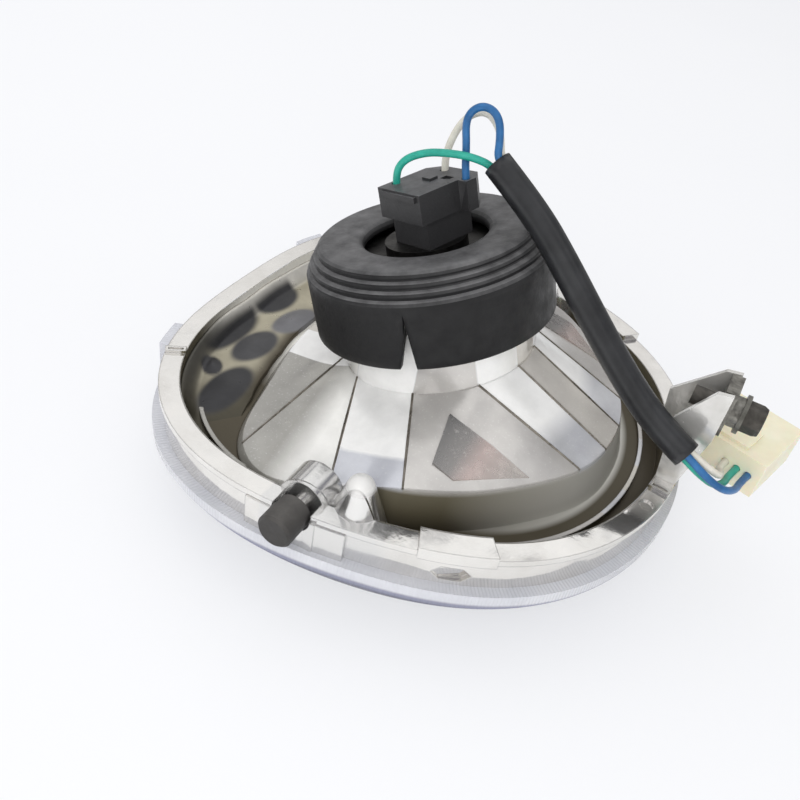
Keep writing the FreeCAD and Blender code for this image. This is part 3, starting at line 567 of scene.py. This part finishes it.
# Cords: the points of the part's routes, in metres
ROUTES = {
    "green": (
        (-0.02968, -0.00318, 0.08741), (-0.03202, -0.00318, 0.09421), (-0.03025, -0.00280, 0.09979),
        (-0.02437, -0.00160, 0.10362), (-0.01797, -0.00060, 0.10529), (-0.01159, 0.00120, 0.10580),
        (-0.00555, 0.00390, 0.10413), (0.00860, 0.00141, 0.09637), (0.02117, -0.00236, 0.08751),
        (0.03573, -0.00484, 0.07461), (0.05042, -0.00625, 0.06160), (0.06272, -0.00878, 0.05399),
        (0.07333, -0.01061, 0.04993), (0.07887, -0.01100, 0.04720), (0.08407, -0.00900, 0.04400),
        (0.08667, -0.00340, 0.04180), (0.08727, 0.00248, 0.04050), (0.08975, 0.01113, 0.04050)),
    "blue": (
        (-0.01087, 0.00235, 0.09388), (-0.01321, 0.00235, 0.10069), (-0.01508, 0.00440, 0.10671),
        (-0.01725, 0.00560, 0.11273), (-0.01631, 0.00620, 0.11612), (-0.01364, 0.00640, 0.11821),
        (-0.01026, 0.00620, 0.11821), (-0.00742, 0.00540, 0.11612), (-0.00586, 0.00440, 0.11158),
        (-0.00470, 0.00270, 0.10606), (0.00950, 0.00021, 0.09827), (0.02228, -0.00361, 0.08926),
        (0.03699, -0.00613, 0.07623), (0.05155, -0.00753, 0.06332), (0.06348, -0.01000, 0.05595),
        (0.07390, -0.01179, 0.05196), (0.08137, -0.01240, 0.04800), (0.08687, -0.01060, 0.04500),
        (0.09007, -0.00500, 0.04240), (0.09083, 0.00146, 0.04050), (0.09331, 0.01011, 0.04050)),
    "white": (
        (-0.02065, 0.00931, 0.09051), (-0.02299, 0.00931, 0.09732), (-0.02259, 0.01140, 0.10518),
        (-0.01962, 0.01240, 0.11192), (-0.01421, 0.01180, 0.11526), (-0.00894, 0.00940, 0.11348),
        (-0.00642, 0.00670, 0.11075), (-0.00438, 0.00510, 0.10588), (0.00991, 0.00258, 0.09804),
        (0.02267, -0.00123, 0.08905), (0.03724, -0.00372, 0.07614), (0.05182, -0.00512, 0.06322),
        (0.06386, -0.00761, 0.05579), (0.07426, -0.00940, 0.05181), (0.07947, -0.00970, 0.04980),
        (0.08417, -0.00710, 0.04640), (0.08487, -0.00130, 0.04320), (0.08371, 0.00350, 0.04050),
        (0.08619, 0.01215, 0.04050)),
    "sleeve": (
        (-0.00488, 0.00390, 0.10536), (0.00933, 0.00140, 0.09756), (0.02204, -0.00240, 0.08861),
        (0.03665, -0.00490, 0.07566), (0.05126, -0.00630, 0.06271), (0.06335, -0.00880, 0.05524),
        (0.07383, -0.01060, 0.05123)),
}


def cord_curve(name, points, radius, material):
    """A round cord on a smooth spline, with the route's points as its control points."""
    data = bpy.data.curves.new(name, "CURVE")
    data.dimensions = "3D"
    spline = data.splines.new("NURBS")
    spline.points.add(len(points) - 1)
    for target, point in zip(spline.points, points):
        target.co = (*point, 1.0)
    spline.order_u = 3
    spline.use_endpoint_u = True
    spline.resolution_u = 10
    data.bevel_depth = radius
    data.bevel_resolution = 6
    data.use_fill_caps = True
    data.materials.append(material)
    obj = bpy.data.objects.new(name, data)
    scene.collection.objects.link(obj)
    return obj


WIRE_R = 0.0011
for colour in ("green", "blue", "white"):
    wire = cord_curve("lead_" + colour, ROUTES[colour], WIRE_R, MATS[colour])
    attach(wire, "root")
    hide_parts("wire_" + colour)

SLEEVE_R = 0.0043
SLEEVE_WALL = 0.0008
sleeve = cord_curve("sleeve_tube", ROUTES["sleeve"], SLEEVE_R, MATS["sleeve"])
sleeve.data.use_fill_caps = False
wall = sleeve.modifiers.new("wall", "SOLIDIFY")
wall.thickness = SLEEVE_WALL
wall.offset = -1.0
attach(sleeve, "root")
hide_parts("harness_sleeve")


def finish_mesh(name, bm, material, smooth):
    """An object of a bmesh, with its faces turned outward."""
    bmesh.ops.recalc_face_normals(bm, faces=bm.faces)
    mesh = bpy.data.meshes.new(name)
    bm.to_mesh(mesh)
    bm.free()
    for polygon in mesh.polygons:
        polygon.use_smooth = smooth
    mesh.materials.append(material)
    obj = bpy.data.objects.new(name, mesh)
    scene.collection.objects.link(obj)
    return obj


def add_mesh(name, verts, faces, material, smooth):
    """An object of points and of faces that number them."""
    bm = bmesh.new()
    points = [bm.verts.new(vert) for vert in verts]
    for face in faces:
        bm.faces.new([points[k] for k in face])
    return finish_mesh(name, bm, material, smooth)


def smooth_step(low, high, value):
    t = min(1.0, max(0.0, (value - low) / (high - low)))
    return t * t * (3.0 - 2.0 * t)


# Boot: a turned rubber shell with soft ridges and a torn skirt; its section in millimetres, radius and height
BOOT_PROFILE = (
    (34.9, 21.6), (35.2, 21.35), (36.4, 21.3), (37.2, 21.4), (37.5, 21.9), (37.5, 24.0), (37.5, 28.0),
    (37.45, 32.0), (37.4, 36.0), (37.4, 39.0), (37.35, 40.6), (37.0, 41.5), (36.3, 41.75), (35.7, 41.85),
    (35.7, 42.3), (36.0, 42.9), (35.8, 43.7), (35.0, 44.0), (34.3, 44.05), (34.2, 44.5), (34.5, 45.1),
    (34.3, 45.9), (33.5, 46.15), (32.8, 46.2), (32.7, 46.6), (33.0, 47.2), (32.8, 48.0), (32.0, 48.6),
    (31.0, 48.85), (29.0, 48.75), (26.0, 48.55), (23.0, 48.45), (21.3, 48.3), (20.1, 47.9), (19.2, 47.1),
    (18.85, 46.0), (18.8, 45.0), (19.1, 44.6), (20.5, 44.55), (23.9, 44.55), (24.1, 40.3), (30.2, 40.05),
    (30.25, 31.2), (34.6, 30.0),
)
BOOT_STEPS = 120
# Share by which the points draw closer together beside the tear
BOOT_CROWD = 0.16
SKIRT_R = 37.0
SKIRT_FOOT = 21.6
# The tear: its angle, the height of its top, its width at the foot, and the share of it on either side
TEAR_ANGLE = -74.0
TEAR_TOP = 38.5
TEAR_W = 4.8
TEAR_LEFT = 0.62
TEAR_RIGHT = 0.40
TEAR_BULGE = 0.20
# The skin outside SKIN_R draws in by up to WAVE and CURL, from their tops down to where they are full
SKIN_R = 34.0
SINK_FULL = 21.0
WAVE = 0.12
WAVE_TOP = 40.0
CURL = 0.175
CURL_TOP = 30.0
CURL_REACH = 9.0


def boot_gap(h):
    """Half opening of the tear in degrees on each side at one height: left and right."""
    if h >= TEAR_TOP:
        return 0.0, 0.0
    share = (TEAR_TOP - h) / (TEAR_TOP - SKIRT_FOOT)
    wide = math.degrees(TEAR_W / SKIRT_R)
    left = TEAR_LEFT * share ** 0.8 - TEAR_BULGE * math.sin(math.pi * share)
    return wide * left, wide * TEAR_RIGHT * share


def skin_sink(r, h, turn_share, angle):
    """How far the skirt's skin draws in: in three slow waves, and beside the tear."""
    sink = 0.0
    if r > SKIN_R and h < WAVE_TOP:
        wave = 0.5 + 0.5 * math.sin(3 * angle + 0.6)
        sink += WAVE * wave * (WAVE_TOP - h) / (WAVE_TOP - SINK_FULL)
    if r > SKIN_R and h < CURL_TOP:
        degrees = min(turn_share, 1.0 - turn_share) * 360.0
        sink += CURL * math.exp(-degrees / CURL_REACH) * (CURL_TOP - h) / (CURL_TOP - SINK_FULL)
    return sink


def build_boot():
    bm = bmesh.new()
    rows = []
    for r, h in BOOT_PROFILE:
        left, right_gap = boot_gap(h)
        start = TEAR_ANGLE + right_gap
        end = TEAR_ANGLE + 360.0 - left
        row = []
        for i in range(BOOT_STEPS + 1):
            t = i / BOOT_STEPS
            t = t - BOOT_CROWD * math.sin(2 * math.pi * t) / (2 * math.pi)
            a = math.radians(start + (end - start) * t)
            rr = (r - skin_sink(r, h, t, a)) * MM
            row.append(bm.verts.new(lean(rr * math.cos(a), rr * math.sin(a), h * MM)))
        rows.append(row)
    for a_row, b_row in zip(rows, rows[1:] + rows[:1]):
        for i in range(BOOT_STEPS):
            bm.faces.new((a_row[i], a_row[i + 1], b_row[i + 1], b_row[i]))
    # The two cut faces of the tear
    bm.faces.new([row[0] for row in reversed(rows)])
    bm.faces.new([row[-1] for row in rows])
    bmesh.ops.remove_doubles(bm, verts=bm.verts, dist=0.002 * MM)
    return finish_mesh("boot_shell", bm, MATS["boot"], True)


boot = build_boot()
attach(boot, "root")
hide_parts("rubber_boot")

# Raised ridges between the bowl's petals, half sunk into the surface: half width and half height in metres,
# the section in shares of them, the size at the start, middle and end, and the lap past the two ends
RIDGE_W = 0.0005
RIDGE_H = 0.00038
RIDGE_SECTION = ((-1.0, -1.0), (-0.75, 0.45), (-0.3, 1.0), (0.3, 1.0), (0.75, 0.45), (1.0, -1.0))
RIDGE_SIZES = (0.8, 1.0, 0.7)
RIDGE_LAP = (0.0004, 0.0003)


def build_ridges():
    verts = []
    faces = []
    count = len(RIDGE_SECTION)
    for start, end in RIDGES.values():
        for flip in (1, -1):
            a = Vector((start[0], start[1] * flip, start[2]))
            b = Vector((end[0], end[1] * flip, end[2]))
            along = (b - a).normalized()
            side = along.cross(Vector((0, 0, 1))).normalized()
            lift = side.cross(along).normalized()
            base = len(verts)
            places = (a - along * RIDGE_LAP[0], a.lerp(b, 0.5), b + along * RIDGE_LAP[1])
            for place, size in zip(places, RIDGE_SIZES):
                for u, v in RIDGE_SECTION:
                    verts.append(place + side * (u * RIDGE_W * size) + lift * (v * RIDGE_H * size))
            for low in (base, base + count):
                for k in range(count):
                    n = (k + 1) % count
                    faces.append((low + k, low + n, low + count + n, low + count + k))
            faces.append(tuple(base + k for k in range(count)))
            faces.append(tuple(base + 2 * count + k for k in range(count)))
    return add_mesh("bowl_ridges", verts, faces, MATS["ridge"], False)


ridges = build_ridges()
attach(ridges, "root")

# Triangular facet standing proud on the petal between two ridges, on both sides: each corner's point on the
# petal and its rise, the depth of its root and the crown of its middle, in metres
FACET_CORNERS = (
    ((0.01036, -0.03132, 0.04501), 0.0006), ((0.02525, -0.03238, 0.04191), 0.0005),
    ((0.03820, -0.03325, 0.03816), 0.0002), ((0.02120, -0.04815, 0.03858), 0.0004),
    ((0.01392, -0.04732, 0.03984), 0.0008),
)
FACET_ROOT = 0.0008
FACET_CROWN = Vector((0, 0, 0.0003))


def build_facets():
    verts = []
    faces = []
    count = len(FACET_CORNERS)
    for flip in (1, -1):
        base = len(verts)
        lows = [Vector((x, y * flip, z - FACET_ROOT)) for (x, y, z), rise in FACET_CORNERS]
        tops = [Vector((x, y * flip, z + rise)) for (x, y, z), rise in FACET_CORNERS]
        for low, top in zip(lows, tops):
            verts += [low, top]
        middle = len(verts)
        verts.append(sum(tops, Vector()) / count + FACET_CROWN)
        verts.append(sum(lows, Vector()) / count - FACET_CROWN)
        for k in range(count):
            low = base + 2 * k
            following = base + 2 * ((k + 1) % count)
            faces.append((low, following, following + 1, low + 1))
            faces.append((low + 1, following + 1, middle))
            faces.append((low, following, middle + 1))
    return add_mesh("bowl_facets", verts, faces, MATS["facet"], False)


facets = build_facets()
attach(facets, "root")

# Floor of the wide well: a cove along the rim's inner wall and shallow oval swells, with painted dark
# reflections on the swells. Angles about the rim's centre in degrees, lengths in millimetres, heights from the
# top of the flange
WELL_START = 124.0
WELL_END = 237.0
WELL_STEPS = 150
WELL_ROWS = 44
WALL_INSET = 6.46
FOOT_LAP = 0.7
WELL_H = -7.9
COVE_H = 4.4
COVE_W = 5.5
END_H = -9.7
END_FADE = 14.0
SKIRT_H = -10.58
SWELL_H = 1.2
# Each swell's centre, its two half axes and the tone of its painted dark reflection
SWELLS = (
    ((-66.9, 5.4), (4.9, 6.9), (4.3, -7.0), 0.055),
    ((-68.9, -20.3), (3.1, 12.7), (6.6, -5.6), 0.050),
    ((-55.6, -21.4), (2.4, 8.6), (4.6, -3.6), 0.085),
    ((-49.7, -44.6), (0.6, 11.4), (5.6, -2.1), 0.055),
    ((-53.8, -1.0), (3.2, 7.9), (3.5, -4.3), 0.20),
    ((-59.8, -38.7), (3.4, 0.4), (1.6, -3.8), 0.060),
    ((-53.5, 24.0), (-1.5, 8.0), (3.6, 1.2), 0.16),
    ((-50.0, 45.0), (-4.0, 7.0), (4.4, 2.8), 0.16),
)
# Distance of the bowl's foot from the rim's centre by angle
FOOT_RADII = (
    (112, 74.0), (116, 73.2), (134, 59.8), (147, 54.3), (160, 51.1), (180, 50.0), (200, 51.1), (213, 54.3),
    (226, 59.8), (244, 73.2), (248, 74.0),
)
# The film's cream, and painted shade: the rim wall's shadow and lit tones, by the bowl's foot and at the
# well's ends
CREAM = Vector((0.46, 0.425, 0.325))
WALL_SHADOW = Vector((0.110, 0.106, 0.092))
WALL_LIT = Vector((0.72, 0.70, 0.645))
FOOT_SHADE = Vector((0.075, 0.062, 0.042))
END_SHADE = Vector((0.085, 0.077, 0.056))


def rim_radius(degrees):
    a = math.radians(degrees)
    return RIM_R * (1 + sum(share * math.cos(order * a) for order, share in RIM_HARMONICS.items()))


def foot_radius(degrees):
    for (a, r), (b, q) in zip(FOOT_RADII, FOOT_RADII[1:]):
        if degrees <= b:
            return r + (q - r) * (degrees - a) / (b - a)
    return FOOT_RADII[-1][1]


def well_tone(y, wall_gap, foot_gap, end_gap):
    """Cream, with painted shade near the rim's wall, darkest on the near side as its shadow, by the bowl's
    foot and at the well's end.
    """
    wall = WALL_SHADOW.lerp(WALL_LIT, smooth_step(-34.0, -14.0, y))
    tone = wall.lerp(CREAM, smooth_step(2.5, 6.5, wall_gap))
    shade_w = 6.0 + 5.0 * smooth_step(-25.0, -50.0, y)
    tone = FOOT_SHADE.lerp(tone, smooth_step(0.0, shade_w, foot_gap))
    return END_SHADE.lerp(tone, smooth_step(5.0, 24.0, end_gap))


def swell_distance(x, y, centre, long_axis, short_axis):
    """Distance from a swell's centre in shares of its half axes: 1 on its outline."""
    dx = x - centre[0]
    dy = y - centre[1]
    det = long_axis[0] * short_axis[1] - long_axis[1] * short_axis[0]
    u = (dx * short_axis[1] - dy * short_axis[0]) / det
    v = (long_axis[0] * dy - long_axis[1] * dx) / det
    return math.sqrt(u * u + v * v)


def well_point(angle, share):
    """One point of the well's floor and its tone; the share runs from the rim's wall to the bowl's foot."""
    outer = rim_radius(angle) - WALL_INSET
    inner = foot_radius(angle) - FOOT_LAP
    r = outer + (inner - outer) * share
    x = r * math.cos(math.radians(angle))
    y = r * math.sin(math.radians(angle))
    gap = outer - r
    z = WELL_H + COVE_H * (1.0 - smooth_step(0.0, COVE_W, gap))
    tone = well_tone(y, gap, r - inner, WELL_END - angle)
    for centre, long_axis, short_axis, dark in SWELLS:
        d = swell_distance(x, y, centre, long_axis, short_axis)
        z += SWELL_H * math.exp(-(d * d) / 0.9)
        # A painted dark reflection on each swell, kept off the cove
        reflection_oval = (1.0 - smooth_step(0.92, 1.24, d)) * smooth_step(0.8, 3.6, gap)
        tone = tone.lerp(Vector((dark, dark, dark * 1.06)), reflection_oval)
    # Both ends run down to the moulding's floor
    fade = smooth_step(0.0, END_FADE, min(angle - WELL_START, WELL_END - angle))
    z = END_H + (z - END_H) * fade
    return (x * MM + RIM_X, y * MM, z * MM + RIM_Z), tone


def build_well():
    verts = []
    tones = []
    for i in range(WELL_STEPS + 1):
        angle = WELL_START + (WELL_END - WELL_START) * i / WELL_STEPS
        for j in range(WELL_ROWS + 1):
            point, tone = well_point(angle, j / WELL_ROWS)
            verts.append(point)
            tones.append(tone)
    row = WELL_ROWS + 1
    faces = []
    for i in range(WELL_STEPS):
        for j in range(WELL_ROWS):
            k = i * row + j
            faces.append((k, k + 1, k + row + 1, k + row))
    # A skirt runs from the sheet's edge down to just above the moulding's floor
    edge = [i * row for i in range(WELL_STEPS + 1)]
    edge += [WELL_STEPS * row + j for j in range(1, row)]
    edge += [i * row + WELL_ROWS for i in range(WELL_STEPS - 1, -1, -1)]
    edge += list(range(WELL_ROWS - 1, 0, -1))
    count = len(verts)
    for k in edge:
        verts.append((verts[k][0], verts[k][1], RIM_Z + SKIRT_H * MM))
        tones.append(tones[k])
    size = len(edge)
    for k in range(size):
        n = (k + 1) % size
        faces.append((edge[k], edge[n], count + n, count + k))
    obj = add_mesh("well_floor", verts, faces, MATS["well"], True)
    paint = obj.data.color_attributes.new("tone", "FLOAT_COLOR", "POINT")
    for item, tone in zip(paint.data, tones):
        item.color = (*tone, 1.0)
    return obj


well = build_well()
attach(well, "root")


# Floor: pale, with a part of its own white for the camera, so that the object's shadow stays
FLOOR_HALF = 20.0
FLOOR_TONES = [(0.3, (0.90, 0.905, 0.92)), (0.7, (0.93, 0.935, 0.945))]
FLOOR_WHITE = (0.94, 0.95, 0.985, 1.0)
FLOOR_WHITE_SHARE = 0.6
floor_mesh = bpy.data.meshes.new("studio_floor")
floor_corners = [(x * FLOOR_HALF, y * FLOOR_HALF, 0.0) for x, y in ((-1, -1), (1, -1), (1, 1), (-1, 1))]
floor_mesh.from_pydata(floor_corners, [], [(0, 1, 2, 3)])
floor = bpy.data.objects.new("studio_floor", floor_mesh)
scene.collection.objects.link(floor)
floor_net = Net("studio_floor")
floor_net.set(Roughness=0.8, Specular_IOR_Level=0.2)
floor_net.color(floor_net.ramp(floor_net.noise(3.0, 2.0), FLOOR_TONES))
floor_white = floor_net.add("ShaderNodeEmission")
floor_white.inputs["Color"].default_value = FLOOR_WHITE
floor_seen = floor_net.add("ShaderNodeLightPath").outputs["Is Camera Ray"]
floor_mix = floor_net.blend(floor_net.times(floor_seen, FLOOR_WHITE_SHARE), floor_net.bsdf.outputs[0],
                            floor_white.outputs[0])
floor_net.link(floor_mix, floor_net.out.inputs["Surface"])
floor_mesh.materials.append(floor_net.mat)


# World: white for the camera and through clear plastic, a clouded studio in metal, plain light for the rest
WHITE = (1.0, 1.0, 1.0)
WORLD_LIGHT = 0.72
SKY = [(0.0, (0.20, 0.19, 0.18)), (0.35, (0.74, 0.73, 0.72)), (0.75, WHITE)]
CLOUDS = [(0.43, (0.22, 0.22, 0.25)), (0.51, WHITE)]


def background(tree, color, strength=1.0):
    node = tree.add("ShaderNodeBackground")
    node.inputs["Strength"].default_value = strength
    if isinstance(color, tuple):
        node.inputs["Color"].default_value = (*color, 1.0)
    else:
        tree.link(color, node.inputs["Color"])
    return node.outputs[0]


world = bpy.data.worlds.new("studio")
scene.world = world
world.use_nodes = True
studio = Tree(world.node_tree, "Generated")
paths = studio.add("ShaderNodeLightPath").outputs
sky = studio.ramp(studio.xyz()["Z"], SKY)
clouds = studio.ramp(studio.noise(3.2, 1.5, 0.5), CLOUDS)
mirrored = background(studio, studio.mix(1.0, sky, clouds, "MULTIPLY"))
lit = studio.blend(paths["Is Glossy Ray"], background(studio, WHITE, WORLD_LIGHT), mirrored)
seen = studio.math("MAXIMUM", paths["Is Camera Ray"], paths["Is Transmission Ray"])
studio_out = studio.add("ShaderNodeOutputWorld")
studio.link(studio.blend(seen, lit, background(studio, WHITE)), studio_out.inputs["Surface"])

# Two soft lamps; metal mirrors the world alone
LAMP_AIM = Vector((0.0, 0.0, 0.04))


def area_light(name, place, size, power, colour):
    data = bpy.data.lights.new(name, "AREA")
    data.shape = "DISK"
    data.size = size
    data.energy = power
    data.color = colour
    obj = bpy.data.objects.new(name, data)
    scene.collection.objects.link(obj)
    obj.location = place
    obj.rotation_euler = (LAMP_AIM - Vector(place)).to_track_quat("-Z", "Y").to_euler()
    obj.visible_glossy = False


area_light("key", (-0.55, 0.35, 0.85), 1.2, 2.4, WHITE)
area_light("fill", (0.22, -0.80, 0.62), 0.9, 5.2, (1.0, 0.99, 0.97))
